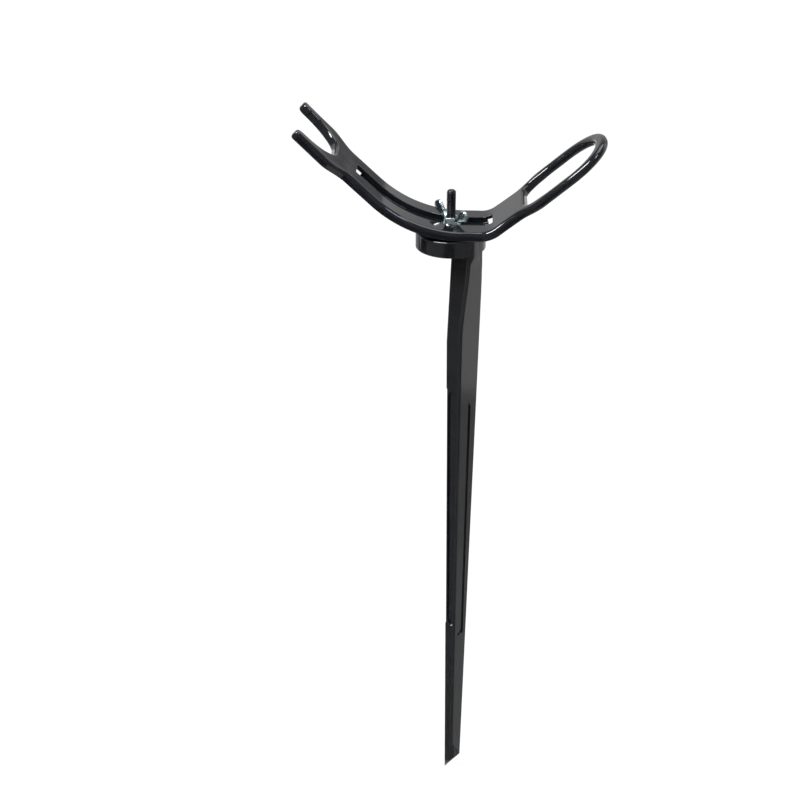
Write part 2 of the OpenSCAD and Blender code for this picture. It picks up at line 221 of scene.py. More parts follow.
def joinRings(rings, caps, spacing):  # one closed flat shell from rings and the caps between their ends
    points, quads, triangles, starts, count = [], [], [], [], 0
    for ring in rings:
        index = count + np.arange(ring.size // 3).reshape(ring.shape[:2])
        quads.append(gridFaces(index, closeRows=True))
        points.append(ring.reshape(-1, 3))
        starts.append(index)
        count += index.size
    for members, upward in caps:  # each member is (ring number, row number)
        loops = [rings[k][:, row, :2] for k, row in members]
        number = np.concatenate([starts[k][:, row] for k, row in members])
        height = rings[members[0][0]][0, members[0][1], 2]
        lattice, faces = fillLoops(loops, spacing)
        number = np.concatenate([number, count + np.arange(len(lattice))])
        points.append(np.column_stack([lattice, np.full(len(lattice), height)]))
        count += len(lattice)
        faces = number[faces]
        triangles.append(faces if upward else faces[:, ::-1])
    return np.concatenate(points), np.concatenate(quads), np.concatenate(triangles)


def slab(curve, out, rows, spacing):  # a flat shell with one outline, its edge rows and two caps
    return joinRings([ringRows(curve, out, rows)], [([(0, 0)], True), ([(0, -1)], False)], spacing)


def circleAngles(count, start=0.0):
    return math.radians(start) + np.arange(count) / count * 2 * math.pi


# A closed profile runs from the bore over the top and back, an open one from the bottom up
def revolve(radius, height, angles, closed=True):
    shape = (len(angles), np.shape(height)[-1])
    radius, height = np.broadcast_to(radius, shape), np.broadcast_to(height, shape)
    points = np.stack([radius * np.cos(angles)[:, None], radius * np.sin(angles)[:, None], height], -1)
    quads = gridFaces(np.arange(radius.size).reshape(shape), True, closed)
    return points.reshape(-1, 3), quads if closed else quads[:, ::-1]


def turnAboutZ(points, degrees):
    turn = math.radians(degrees)
    matrix = np.array([[math.cos(turn), -math.sin(turn), 0], [math.sin(turn), math.cos(turn), 0], [0, 0, 1]])
    return points @ matrix.T


def arcPoints(x, y, radius, first, last, count=5):  # part of a circle, angles in degrees
    angle = np.radians(np.linspace(first, last, count))
    return np.stack([x + radius * np.cos(angle), y + radius * np.sin(angle)], 1)


def bezier(start, pull, end, count=24):  # a curve that leaves towards one point and arrives from it
    t = np.linspace(0, 1, count)[:, None]
    return (1 - t) ** 2 * start + 2 * t * (1 - t) * pull + t ** 2 * end


def roundCorners(corners, radius, count=4):  # each corner becomes a curve that touches both sides
    corners = np.asarray(corners, float)
    before, after = unit(np.roll(corners, 1, axis=0) - corners), unit(np.roll(corners, -1, axis=0) - corners)
    half = np.arccos(np.clip((before * after).sum(1), -1, 1)) / 2
    cut = (radius / np.tan(half))[:, None]
    start, end = corners + before * cut, corners + after * cut
    return bezier(start[:, None], corners[:, None], end[:, None], count + 1).reshape(-1, 2)


# Cradle: one moulding, shaped flat along its own length and then bent over its underside line
cradleSizes = {
    "seat": 360.05, "height": 5.0, "floor": 1.7, "rim": 3.8, "stripWidth": 36.4, "neckWidth": 33.4,
    "curveStart": 7.0, "arcRadius": 71.0, "arcAngle": 43.5, "creaseLength": 22.0, "creaseBend": 3.0,
    "prongAngle": 45.0, "levelLength": 8.7, "bendRadius": 17.0, "riseAngle": 38.0, "riseLength": 22.0,
    "loopBendRadius": 40.0, "loopAngle": 40.4, "tail": 60.0, "neckNear": 12.0, "neckFar": 30.0,
    "forkWidth": 51.0, "forkGap": 38.4, "forkRoot": 62.5, "forkReach": 80.65, "gapCorner": 14.6,
    "tipInner": 3.0, "tipOuter": 1.5, "flareNear": 54.0, "flareFar": 66.0, "loopPower": 2.2,
    "loopWidth": 44.6, "loopBar": 5.1, "loopReach": 80.5, "loopCentre": 61.0, "loopRoot": 39.5,
    "spreadNear": 35.0, "spreadFar": 47.4, "crotchWidth": 33.0, "crotchCorner": 7.0, "crotchRun": 6.0,
    "pocketGap": 3.0, "pocketCorner": 2.5, "trackWidth": 11.6, "trackDepth": 3.2, "trackCorner": 0.9,
    "trackWall": 1.6, "slotWidth": 5.8, "slotStart": 50.0, "slotEnd": 22.0, "openStart": 3.7, "openEnd": 2.7,
    "barStep": 1.5, "barCorner": 0.2, "barTop": 0.5, "barShoulder": 0.1, "barOver": 0.3, "barTaper": 0.2,
}
# How much each edge is rounded, and over what length one rounding turns into the next
cradleEdges = {
    "top": 2.3, "bottom": 1.0, "loop": 2.2, "loopRun": 12.0, "tip": 1.55, "tipStart": 7.0, "tipRun": 5.0,
    "fork": 1.3, "forkRun": 10.0, "gap": 1.5, "gapTip": 1.2, "gapSide": 0.4, "gapEnd": 1.0,
    "crotch": 1.3, "crotchStart": 1.0, "crotchRun": 10.0, "hole": 0.35, "opening": 0.2, "ceiling": 0.6,
    "pocket": 0.3,
}


def undersideLine(c):  # x and z are the running sums of the cosine and sine of a slope that changes steadily
    arc = math.radians(c["arcAngle"]) * c["arcRadius"]
    bendLength = math.radians(c["riseAngle"]) * c["bendRadius"]
    loopBend = math.radians(c["loopAngle"] - c["riseAngle"]) * c["loopBendRadius"]
    left = np.cumsum([0, arc, c["creaseLength"], c["creaseBend"], c["tail"]])
    right = np.cumsum([0, c["levelLength"], bendLength, c["riseLength"], loopBend, c["tail"]])
    knots = np.concatenate([-left[::-1], right[1:]])
    slopes = np.radians([-c["prongAngle"], -c["prongAngle"], -c["arcAngle"], -c["arcAngle"], 0,
                         0, c["riseAngle"], c["riseAngle"], c["loopAngle"], c["loopAngle"]])
    station = np.linspace(knots[0], knots[-1], 8001)
    slope = np.interp(station, knots, slopes)
    middle = (slope[1:] + slope[:-1]) / 2
    step = station[1] - station[0]
    x = np.concatenate([[0], np.cumsum(np.cos(middle) * step)])
    z = np.concatenate([[0], np.cumsum(np.sin(middle) * step)])
    x += c["curveStart"] - np.interp(0, station, x)
    z += c["seat"] - np.interp(0, station, z)
    return {"station": station, "slope": slope, "x": x, "z": z}


def bendOver(flat, line):  # a flat point goes to its station on the line, then out along the normal
    station, across, height = flat[..., 0], flat[..., 1], flat[..., 2]
    slope = np.interp(station, line["station"], line["slope"])
    x = np.interp(station, line["station"], line["x"]) - height * np.sin(slope)
    z = np.interp(station, line["station"], line["z"]) + height * np.cos(slope)
    return np.stack([x, across, z], -1)


def fullEnd(c, reach, halfWidth):  # a quarter ellipse, a little squared: the shares to a power add up to one
    angle = np.radians(np.linspace(0, 90, 120))
    power = 2 / c["loopPower"]
    return np.stack([c["loopCentre"] + (reach - c["loopCentre"]) * np.cos(angle) ** power,
                     halfWidth * np.sin(angle) ** power], 1)


def outerHalf(c):  # from the tip of the loop round the far side to the root of the fork
    end = fullEnd(c, c["loopReach"], c["loopWidth"] / 2)
    x = np.linspace(c["loopCentre"], -c["forkReach"] + c["tipOuter"], 500)
    onNeck = smoothStep((x - c["neckNear"]) / (c["neckFar"] - c["neckNear"]))
    onFork = smoothStep((-x - c["flareNear"]) / (c["flareFar"] - c["flareNear"]))
    onLoop = smoothStep((x - c["spreadNear"]) / (c["spreadFar"] - c["spreadNear"]))
    strip = mix(c["stripWidth"], c["neckWidth"], onNeck)
    width = np.where(x < 0, mix(strip, c["forkWidth"], onFork), mix(strip, c["loopWidth"], onLoop))
    inner, outer, r = c["tipInner"], c["tipOuter"], c["gapCorner"]
    tip = arcPoints(-c["forkReach"] + outer, c["forkWidth"] / 2 - outer, outer, 90, 180, 40)
    nose = arcPoints(-c["forkReach"] + inner, c["forkGap"] / 2 + inner, inner, 180, 270, 40)
    gap = arcPoints(-c["forkRoot"] - r, c["forkGap"] / 2 - r, r, 90, 0, 40)
    side = np.stack([x, width / 2], 1)
    return np.concatenate([end, side[1:], tip[1:], nose, gap, [[-c["forkRoot"], 0.0]]])


def loopHalf(c):  # the inside of the loop, from its far end to the crotch
    inner, r = c["loopWidth"] / 2 - c["loopBar"], c["crotchCorner"]
    end = fullEnd(c, c["loopReach"] - c["loopBar"], inner)
    x = np.linspace(c["loopCentre"], c["loopRoot"] + r, 80)
    y = mix(c["crotchWidth"] / 2, inner, smoothStep((x - c["loopRoot"] - r) / c["crotchRun"]))
    crotch = arcPoints(c["loopRoot"] + r, c["crotchWidth"] / 2 - r, r, 90, 180, 40)
    return np.concatenate([end, np.stack([x, y], 1)[1:], crotch[1:], [[c["loopRoot"], 0.0]]])


def roundedBox(low, high, halfWidth, r):  # half of a rectangle with round corners, from its high end
    return np.concatenate([[[high, 0.0]], arcPoints(high - r, halfWidth - r, r, 0, 90, 40),
                           arcPoints(low + r, halfWidth - r, r, 90, 180, 40), [[low, 0.0]]])


def planCurve(half, levelX, line, spacing, hole):  # a half outline mirrored, moved to stations and resampled
    full = np.concatenate([half, half[::-1] * [1, -1]])
    full = np.stack([np.interp(full[:, 0], levelX, line["station"]), full[:, 1]], 1)
    return closedCurve(full[::-1] if hole else full, spacing)


def soften(values, reach=4):  # the running mean round a closed curve
    count = 2 * reach + 1
    wrapped = np.concatenate([values[-reach:], values, values[:reach]])
    return np.convolve(wrapped, np.ones(count) / count, "valid")


def outerEdges(c, e, x, y):  # how far the outline's top and bottom edges are rounded at each point
    onLoop = smoothStep((x - c["spreadNear"]) / e["loopRun"])
    onFork = smoothStep((-x - c["flareNear"]) / e["forkRun"])
    onTip = smoothStep((-x - c["forkReach"] + e["tipStart"]) / e["tipRun"])
    inGap = (np.abs(y) < c["forkGap"] / 2 + e["gapSide"]) & (x < -c["forkRoot"] + e["gapEnd"])
    top = mix(mix(e["top"], e["loop"], onLoop), e["tip"], onTip)
    top = np.where(inGap, mix(e["gap"], e["gapTip"], onTip), top)
    bottom = mix(mix(e["bottom"], e["loop"], onLoop), e["fork"], onFork)
    return soften(top), soften(bottom)


def sweepSection(corners, stations, ends):  # a rounded section carried along, closed by round ends
    section, out = closedCurve(corners, 0.9, 0.5)
    turn = np.linspace(0, math.pi / 2, 4)
    inset = np.concatenate([ends * (1 - np.sin(turn)), np.zeros(len(stations)), ends * (1 - np.cos(turn))])
    place = np.concatenate([stations[0] - ends * np.cos(turn), stations, stations[-1] + ends * np.sin(turn)])
    across = section[:, None, :] - inset[None, :, None] * out[:, None, :]
    flat = np.stack([np.broadcast_to(place, across.shape[:2]), across[..., 0], across[..., 1]], -1)
    index = np.arange(flat.size // 3).reshape(flat.shape[:2])
    _, faces = fillLoops([section], noLattice)
    caps = np.concatenate([index[faces, 0][:, ::-1], index[faces, -1]])
    return flat.reshape(-1, 3), gridFaces(index, closeRows=True), caps


def ledgeBars(c, line, topX):  # the ledge under the washer and the wall beside it, to each side of the slot
    ledge, under = c["height"] - c["trackDepth"], c["height"] - c["floor"]
    slot, inner, outer = c["slotWidth"] / 2, c["trackWidth"] / 2, c["trackWidth"] / 2 + c["trackWall"]
    shoulder, top = under + c["barShoulder"], under + c["barTop"]  # the bar's top is sunk in the floor
    section = roundCorners([[slot, 0], [outer, 0], [outer, shoulder], [outer - c["barTaper"], top],
                            [inner + c["barOver"], top], [inner, shoulder], [inner, ledge], [slot, ledge]],
                           c["barCorner"])
    low = np.interp(-c["slotStart"] + c["openStart"], topX, line["station"])
    high = np.interp(c["slotEnd"] - c["openEnd"], topX, line["station"])
    stations = np.arange(low + c["barCorner"], high - c["barCorner"], c["barStep"])
    flat, quads, triangles = sweepSection(section, stations, c["barCorner"])
    return [(bendOver(flat * [1, side, 1], line), quads[:, ::side], triangles[:, ::side])
            for side in (1, -1)]


def buildCradle(c, e):
    line = undersideLine(c)
    top, under, middle = c["height"], c["height"] - c["floor"], c["height"] / 2
    middleX, topX = (line["x"] - height * np.sin(line["slope"]) for height in (middle, top))
    track = roundedBox(-c["slotStart"], c["slotEnd"], c["trackWidth"] / 2, c["trackCorner"])
    pocket = roundedBox(-c["forkRoot"] + c["pocketGap"], c["spreadNear"], c["stripWidth"] / 2 - c["rim"],
                        c["pocketCorner"])
    outer, outerOut = planCurve(outerHalf(c), middleX, line, 1.3, False)
    loop, loopOut = planCurve(loopHalf(c), middleX, line, 1.2, True)
    track, trackOut = planCurve(track, topX, line, 1.3, True)
    pocket, pocketOut = planCurve(pocket, middleX, line, 1.5, True)
    outerX, loopX = (bendOver(np.column_stack([curve, np.full(len(curve), middle)]), line)[:, 0]
                     for curve in (outer, loop))
    topEdge, bottomEdge = outerEdges(c, e, outerX, outer[:, 1])
    pastCrotch = smoothStep((loopX - c["loopRoot"] - e["crotchStart"]) / e["crotchRun"])
    loopEdge = mix(e["crotch"], e["loop"], pastCrotch)
    rings = [
        ringRows(outer, outerOut, [edgeRows("top", top, topEdge, 9), edgeRows("bottom", 0, bottomEdge, 6)]),
        ringRows(loop, loopOut, [edgeRows("top", top, loopEdge, 8, 0.15),
                                 edgeRows("bottom", 0, loopEdge, 8, 0.15)]),
        ringRows(track, trackOut, [edgeRows("top", top, e["hole"], 3),
                                   edgeRows("bottom", under, e["opening"], 2)]),
        ringRows(pocket, pocketOut, [edgeRows("ceiling", under, e["ceiling"], 3),
                                     edgeRows("bottom", 0, e["pocket"], 2)]),
    ]
    caps = [([(0, 0), (1, 0), (2, 0)], True), ([(3, 0), (2, -1)], False),
            ([(0, -1), (1, -1), (3, -1)], False)]
    flat, quads, triangles = joinRings(rings, caps, 2.2)
    return [(bendOver(flat, line), quads, triangles), *ledgeBars(c, line, topX)]


# Stake: an angle section carried up from a chisel point to the head, then the head itself
stakeSizes = {
    "cornerTip": (9.7, -4.8), "cornerTop": (16.3, -8.0), "turn": 135.0, "neckStart": 291.0,
    "headBottom": 351.0, "wall": 2.4, "nearTip": 6.5, "nearTop": 14.0, "nearHead": 10.0, "waistStart": 303.0,
    "farTip": 10.8, "farTop": 23.2, "farHead": 21.9, "cutCorner": 15.0, "cutNear": 26.0, "cutTop": 34.0,
    "outerCorner": 0.5, "freeCorner": 0.6, "innerCorner": 0.6, "tipEdge": 0.25,
    "panelStart": 106.0, "panelLength": 156.0, "panelDepth": 0.9, "nearPanel": 5.0, "nearPlace": 0.56,
    "wallRun": 0.24, "farPanel": 10.0, "freeEdge": 2.0, "rebateEdge": 1.6, "rebateDepth": 0.5,
    "rebateRun": 0.2, "rebateEnd": 0.3,
    "flareStart": 342.0, "flare": 0.45, "followStart": 323.0, "followGap": 0.01,
    "hiddenStart": 352.45, "hiddenRadius": 17.8, "bladeTop": 357.4,
}
headSizes = {
    "top": 360.0, "bottom": 351.0, "radius": 19.0, "bevel": 0.75, "rimEdge": 0.3, "inside": 16.6,
    "ceiling": 356.8, "ceilingEdge": 0.5, "boss": 7.0, "bossEdge": 0.3, "pocketFlats": 8.2,
    "pocketTop": 354.5, "bore": 2.6, "boreEdge": 0.15, "mouthEdge": 0.2, "hexTurn": 15.0, "rib": 1.8,
    "ribBottom": 352.0, "ribStart": 5.5, "ribReach": 17.4, "ribEdge": 0.3, "ribCorner": 0.25,
    "ribSunk": 0.6, "turns": (135, 225, 315),
}
wallSteps = np.array([0.2, 0.12, 0.04, -0.04, -0.12, -0.2])  # inwards across the wall of a panel


def farWidth(c, z):
    onNeck = (z - c["neckStart"]) / (c["headBottom"] - c["neckStart"])
    return np.where(z < c["neckStart"], mix(c["farTip"], c["farTop"], z / c["neckStart"]),
                    mix(c["farTop"], c["farHead"], onNeck))


def nearWidth(c, z):
    waist = smoothStep((z - c["waistStart"]) / (c["headBottom"] - c["waistStart"]))
    return np.where(z < c["waistStart"], mix(c["nearTip"], c["nearTop"], z / c["waistStart"]),
                    mix(c["nearTop"], c["nearHead"], waist))


def turnCorner(a, b, before, after, radius):  # an arc that leaves one direction and ends in the next
    turn = np.linspace(0, math.pi / 2, 4)[:, None]
    return np.stack([place + radius * (end - start + start * np.sin(turn) - end * np.cos(turn))
                     for place, start, end in zip((a, b), before, after)], -1)


def panelEnds(c, z, half):  # how far each height lies past the middle of the panel's nearer round end
    low, high = c["panelStart"] + half, c["panelStart"] + c["panelLength"] - half
    return np.maximum(np.maximum(low - z, z - high), 0)


def panelColumns(c, z, half):  # offsets from the middle line that keep their distance from the outline
    rim = np.append(wallSteps, -0.5)[:, None]
    closed = 0.05 * half * np.arange(len(rim) + 1, 1, -1)[:, None]  # the columns stay apart past the end
    side = np.sqrt(np.maximum((half + rim) ** 2 - panelEnds(c, z, half) ** 2, closed ** 2))
    return np.concatenate([side, side[-1:] / 2, np.zeros((1, len(z))), -side[-1:] / 2, -side[::-1]])


def panelDepth(c, z, half, offset):  # the depth rises smoothly across the outline, by distance from it
    inside = half - np.hypot(offset, panelEnds(c, z, half))
    return c["panelDepth"] * smoothStep(inside / c["wallRun"] + 0.5)


def farInner(c, z, far, span):  # the panel and the rebate beside its free edge, sunk in the far flange
    rebatePlace = far - c["rebateEdge"]
    middle = far - c["freeEdge"] - c["farPanel"] / 2
    a = np.concatenate([rebatePlace + np.array([0.15, 0.08, 0.0, -0.08, -0.15])[:, None],
                        middle + panelColumns(c, z, c["farPanel"] / 2)])
    a = np.maximum(a, c["wall"] + c["innerCorner"] + 0.03 * np.arange(len(a), 0, -1)[:, None])
    sunk = panelDepth(c, z, c["farPanel"] / 2, a - middle)
    rebate = c["rebateDepth"] * smoothStep((a - rebatePlace) / c["rebateRun"] + 0.5) * span
    return np.stack([a, c["wall"] - np.maximum(sunk, rebate)], -1)


def nearOuter(c, z, near):  # the panel sunk in the near flange, then two columns where the chisel cut steps
    middle = near * c["nearPlace"]
    columns = middle + panelColumns(c, z, c["nearPanel"] / 2)
    above = mix(near - c["freeCorner"], columns[0], np.array([0.25, 0.5, 0.75])[:, None])
    step = c["wall"] + np.array([0.02, -0.04])[:, None] + 0 * z
    below = step[-1] * np.array([0.85, 0.65, 0.45])[:, None]
    b = np.concatenate([above, columns, step, below])
    return np.stack([panelDepth(c, z, c["nearPanel"] / 2, b - middle), b], -1)


def bladeSection(c, z):  # the outline round the angle: (a along the far flange, b along the near one)
    far, near, wall, zero = farWidth(c, z), nearWidth(c, z), c["wall"] + 0 * z, 0 * z
    share = np.array([0.15, 0.38, 0.62, 0.85])[:, None]
    span = (smoothStep((z - c["panelStart"]) / c["rebateEnd"])
            * smoothStep((c["panelStart"] + c["panelLength"] - z) / c["rebateEnd"]))
    thinned = np.stack([zero, c["rebateDepth"] * span], -1)
    return np.concatenate([
        turnCorner(zero, zero, (0, -1), (1, 0), c["outerCorner"]),
        np.stack([share * far, zero + 0 * share], -1),
        turnCorner(far, zero, (1, 0), (0, 1), c["freeCorner"]),
        turnCorner(far, wall, (0, 1), (-1, 0), c["freeCorner"]) - thinned, farInner(c, z, far, span),
        turnCorner(wall, wall, (-1, 0), (0, 1), c["innerCorner"]),
        np.stack([wall + 0 * share, mix(wall, near, share)], -1),
        turnCorner(wall, near, (0, 1), (-1, 0), c["freeCorner"]),
        turnCorner(zero, near, (-1, 0), (0, -1), c["freeCorner"]), nearOuter(c, z, near)])


def chiselHeight(c, section):  # the slanting cut: a plane across each flange, with a step where they meet
    a, b = section[..., 0], section[..., 1]
    nearEnd = nearWidth(c, np.array(c["cutNear"]))
    return np.where(b > c["wall"] + 0.01, c["cutCorner"] + (c["cutNear"] - c["cutCorner"]) * b / nearEnd,
                    c["cutCorner"] * (1 - np.minimum(a / c["farTip"], 1)))


def chiselRows(c):  # rows from the slanting cut and its small rounded edge to where level rows start
    lowest, upper = bladeSection(c, np.array([0.0, c["cutTop"]])).transpose(1, 0, 2)
    cut = chiselHeight(c, lowest)
    cut = chiselHeight(c, mix(lowest, upper, cut[:, None] / c["cutTop"]))
    tangent = unit(np.roll(lowest, -1, axis=0) - np.roll(lowest, 1, axis=0))
    outwards = np.stack([tangent[:, 1], -tangent[:, 0]], 1)
    climb, inset = np.array([[0, 0.08, 0.3, 1.0], [1.0, 0.45, 0.06, 0]]) * c["tipEdge"]
    above = mix(cut[:, None] + c["tipEdge"], c["cutTop"], np.array([0.25, 0.5, 0.75]))
    z = np.concatenate([cut[:, None] + climb, above], 1)
    section = mix(lowest[:, None], upper[:, None], z[..., None] / c["cutTop"])
    section[:, :len(climb)] -= outwards[:, None] * inset[:, None]
    return section, z


def endRows(level, radius, inwards):  # heights that crowd at one round end of a panel
    turn = 1 - np.cos(np.radians(np.linspace(24, 90, 8)))
    return level + inwards * np.concatenate([[-0.4], -wallSteps, radius * turn])


def levelRows(c):  # heights up the blade, closer at the panels' ends, the waist and the head
    start, end = c["panelStart"], c["panelStart"] + c["panelLength"]
    near, far = c["nearPanel"] / 2, c["farPanel"] / 2
    heights = np.unique(np.round(np.concatenate([
        np.arange(c["cutTop"], start - 2, 9), endRows(start, near, 1), endRows(start, far, 1),
        np.arange(start + 8, end - 8, 7), endRows(end, near, -1), endRows(end, far, -1),
        np.arange(end + 5, c["waistStart"], 8), np.arange(c["waistStart"], c["flareStart"], 2.5),
        np.arange(c["flareStart"], c["headBottom"], 0.5), [c["headBottom"]],
        [c["hiddenStart"] - 0.05, c["hiddenStart"] + 0.05, c["bladeTop"]]]), 3))
    return heights[np.concatenate([[True], np.diff(heights) > 0.04])]


def buildBlade(c):
    heights = levelRows(c)
    lowSection, low = chiselRows(c)
    z = np.concatenate([low, np.broadcast_to(heights, (len(low), len(heights)))], 1)
    ab = np.concatenate([lowSection, bladeSection(c, heights)], 1)
    flare = c["flare"] * smoothStep((z - c["flareStart"]) / (c["headBottom"] - c["flareStart"]))
    a = ab[..., 0] - flare * (ab[..., 0] < c["panelDepth"] + 0.1)  # only the near flange's outer face flares
    turn = math.radians(c["turn"])
    alongFar, alongNear = [math.cos(turn), math.sin(turn)], [-math.sin(turn), math.cos(turn)]
    tip, top = np.array(c["cornerTip"]), np.array(c["cornerTop"])
    corner = tip + (top - tip) * z[..., None] / c["neckStart"]
    xy = corner + a[..., None] * alongFar + ab[..., 1:] * alongNear
    limit = np.where(z > c["hiddenStart"], c["hiddenRadius"], headSizes["radius"] - c["followGap"])
    limit = np.where(z < c["followStart"], 2 * headSizes["radius"], limit)  # above it they follow the head
    xy = xy * np.minimum(1, limit / np.linalg.norm(xy, axis=-1))[..., None]
    points = np.concatenate([xy, z[..., None]], -1)
    index = np.arange(z.size).reshape(z.shape)
    caps = []
    for row, way in ((0, -1), (-1, 1)):
        _, faces = fillLoops([ab[:, row]], noLattice)
        caps.append(index[:, row][faces[:, ::way]])
    return points.reshape(-1, 3), gridFaces(index, closeRows=True)[:, ::-1], np.concatenate(caps)


def hexRadius(angles, flats, turn):  # the distance from the middle to a hexagon's side at each angle
    within = np.mod(angles - math.radians(turn), math.pi / 3) - math.pi / 6
    return flats / 2 / np.cos(within)


def buildRib(c):  # its upper end is sunk in the ceiling
    half, start, end = c["rib"] / 2, c["ribStart"], c["ribReach"]
    outline = roundCorners([[start, -half], [end, -half], [end, half], [start, half]], c["ribCorner"])
    sunk = (np.zeros((1, 1)), np.full((1, 1), c["ceiling"] + c["ribSunk"]))
    return slab(*closedCurve(outline, 1.5), [sunk, edgeRows("bottom", c["ribBottom"], c["ribEdge"], 3)], 1.5)


def buildHead(c):  # one profile out over the top and back along the underside, and the ribs
    angles = circleAngles(120, c["hexTurn"])
    bore, small, top, bottom, pocketTop = c["bore"], c["boreEdge"], c["top"], c["bottom"], c["pocketTop"]
    outer, edge, fillet, boss = c["radius"], c["rimEdge"], c["ceilingEdge"], c["bossEdge"]
    profile = np.concatenate([
        [[bore, top - small], [bore + small, top], [bore + 0.6, top], [outer - c["bevel"] - 0.8, top]],
        arcPoints(outer - c["bevel"], top - c["bevel"], c["bevel"], 90, 0, 8),
        [[outer, bottom + 3]],
        arcPoints(outer - edge, bottom + edge, edge, 0, -90),
        arcPoints(c["inside"] + edge, bottom + edge, edge, 270, 180),
        arcPoints(c["inside"] - fillet, c["ceiling"] - fillet, fillet, 0, 90),
        arcPoints(c["boss"] + fillet, c["ceiling"] - fillet, fillet, 90, 180),
        arcPoints(c["boss"] - boss, bottom + boss, boss, 0, -90)])
    hexagon = hexRadius(angles, c["pocketFlats"], c["hexTurn"])[:, None]
    pocket = [hexagon + c["mouthEdge"], hexagon, hexagon, hexagon - 0.1, 0 * hexagon + bore + 0.3]
    radius = np.concatenate([np.broadcast_to(profile[:, 0], (len(angles), len(profile))), *pocket,
                             np.full((len(angles), 3), bore)], 1)
    height = np.concatenate([profile[:, 1], [bottom, bottom + 0.3, pocketTop - 0.1, pocketTop, pocketTop],
                             [pocketTop, pocketTop + 0.4, top - 0.6]])
    points, quads = revolve(radius, height, angles)
    flat, ribQuads, ribTriangles = buildRib(c)
    return [(points, quads, []), *((turnAboutZ(flat, turn), ribQuads, ribTriangles) for turn in c["turns"])]


# Bolt: a hexagon head in the pocket, and a rolled M5 thread up to its chamfered end
boltSizes = {
    "headBottom": 351.0, "headTop": 354.5, "flats": 8.0, "hexTurn": 15.0, "faceRadius": 3.7,
    "faceSlope": 1.7, "faceRise": (0, 0.12, 0.25, 0.4, 0.6), "faceInner": 2.6, "headEdge": 0.15,
    "headRim": 0.6, "radius": 2.5, "top": 382.5, "plain": 356.0, "pitch": 0.8, "depth": 0.47,
    "crestShare": 0.25, "flankShare": 0.625, "endRadius": 1.85, "endSlope": 0.8, "endInner": 1.0,
}


def threadRows(c, angles, height):  # a crest where height over pitch less angle over a turn is whole
    phase = np.mod(height / c["pitch"] - angles[:, None] / (2 * math.pi), 1)
    crest = np.clip((np.abs(2 * phase - 1) - c["crestShare"]) / c["flankShare"], 0, 1)
    runIn = smoothStep((height - c["plain"]) / c["pitch"])
    return np.minimum(c["radius"] - c["depth"] * (1 - crest) * runIn,
                      c["endRadius"] + c["endSlope"] * (c["top"] - height))


def buildBolt(c):
    angles = circleAngles(60, c["hexTurn"])
    hexagon = hexRadius(angles, c["flats"], c["hexTurn"])[:, None]
    bottom, top, edge, count = c["headBottom"], c["headTop"], c["headEdge"], len(angles)
    rise = np.array(c["faceRise"])
    threadHeight = np.arange(c["plain"], c["top"] + 0.001, c["pitch"] / 10)
    radius = np.concatenate([
        np.full((count, 2), [c["faceInner"], c["faceRadius"] - edge]),
        np.minimum(hexagon, c["faceRadius"] + c["faceSlope"] * rise),
        hexagon, hexagon - edge, hexagon - c["headRim"], np.full((count, 2), c["radius"]),
        threadRows(c, angles, threadHeight), np.full((count, 2), [c["endRadius"] - 0.1, c["endInner"]])], 1)
    height = np.concatenate([[bottom, bottom], bottom + rise, [top - edge, top, top, top, top + 0.1],
                             threadHeight, [c["top"], c["top"]]])
    points, quads = revolve(radius, height, angles, closed=False)
    index = np.arange(radius.size).reshape(radius.shape)
    fan = np.arange(1, count - 1)
    lower = np.stack([index[0 * fan, 0], index[fan + 1, 0], index[fan, 0]], 1)
    upper = np.stack([index[0 * fan, -1], index[fan, -1], index[fan + 1, -1]], 1)
    return [(points, quads, np.concatenate([lower, upper]))]


washerSizes = {
    "bottom": 362.98, "thickness": 1.0, "radius": 5.2, "hole": 2.6, "edge": 0.25, "holeEdge": 0.15,
}


def buildWasher(c):
    low, high = c["bottom"], c["bottom"] + c["thickness"]
    edge, inner, outer = c["holeEdge"], c["hole"] + c["holeEdge"], c["radius"] - c["edge"]
    profile = np.concatenate([
        arcPoints(inner, low + edge, edge, 270, 180, 3), arcPoints(inner, high - edge, edge, 180, 90, 3),
        [[c["hole"] + 0.5, high], [outer - 0.4, high]],
        arcPoints(outer, high - c["edge"], c["edge"], 90, 0),
        arcPoints(outer, low + c["edge"], c["edge"], 0, -90),
        [[outer - 0.4, low], [c["hole"] + 0.5, low]]])
    return [(*revolve(*profile.T, circleAngles(96)), [])]


# Wing nut: a cast hub with two wings that spread and rise, each wing a rounded slab that thins to its lobe
nutSizes = {
    "bottom": 363.98, "turn": 128.0, "bore": 2.55, "foot": 4.7, "crown": 3.8, "hubHeight": 3.8,
    "footEdge": 0.35, "crownEdge": 0.5, "boreEdge": 0.35, "wingEdge": 0.55, "span": 27.8, "height": 10.0,
    "lobe": 6.4, "wing": 1.8, "rootIn": 2.95, "lowRoot": 1.2, "highRoot": 3.45, "lowerStart": -60.0,
    "upperEnd": 150.0, "lowerPull": (7.2, 2.1), "upperPull": (4.9, 4.4), "rootShare": 1.25,
    "thinStart": 3.0, "thinRun": 5.0, "dish": 0.22, "dishRim": 0.7, "dishSlope": 0.9, "dishStart": 5.5,
    "dishRun": 2.0,
}


def buildHub(c):
    foot, crown, top, bore, small = c["footEdge"], c["crownEdge"], c["hubHeight"], c["bore"], c["boreEdge"]
    profile = np.concatenate([
        [[bore, small], [bore, top - small], [bore + 0.3, top - 0.02], [bore + 0.42, top]],
        arcPoints(c["crown"] - crown, top - crown, crown, 90, 12),
        [[mix(c["foot"], c["crown"], 0.5), top / 2]],
        arcPoints(c["foot"] - foot, foot, foot, 12, -90), [[c["foot"] - foot - 0.3, 0], [bore + small, 0]]])
    return revolve(*profile.T, circleAngles(96))


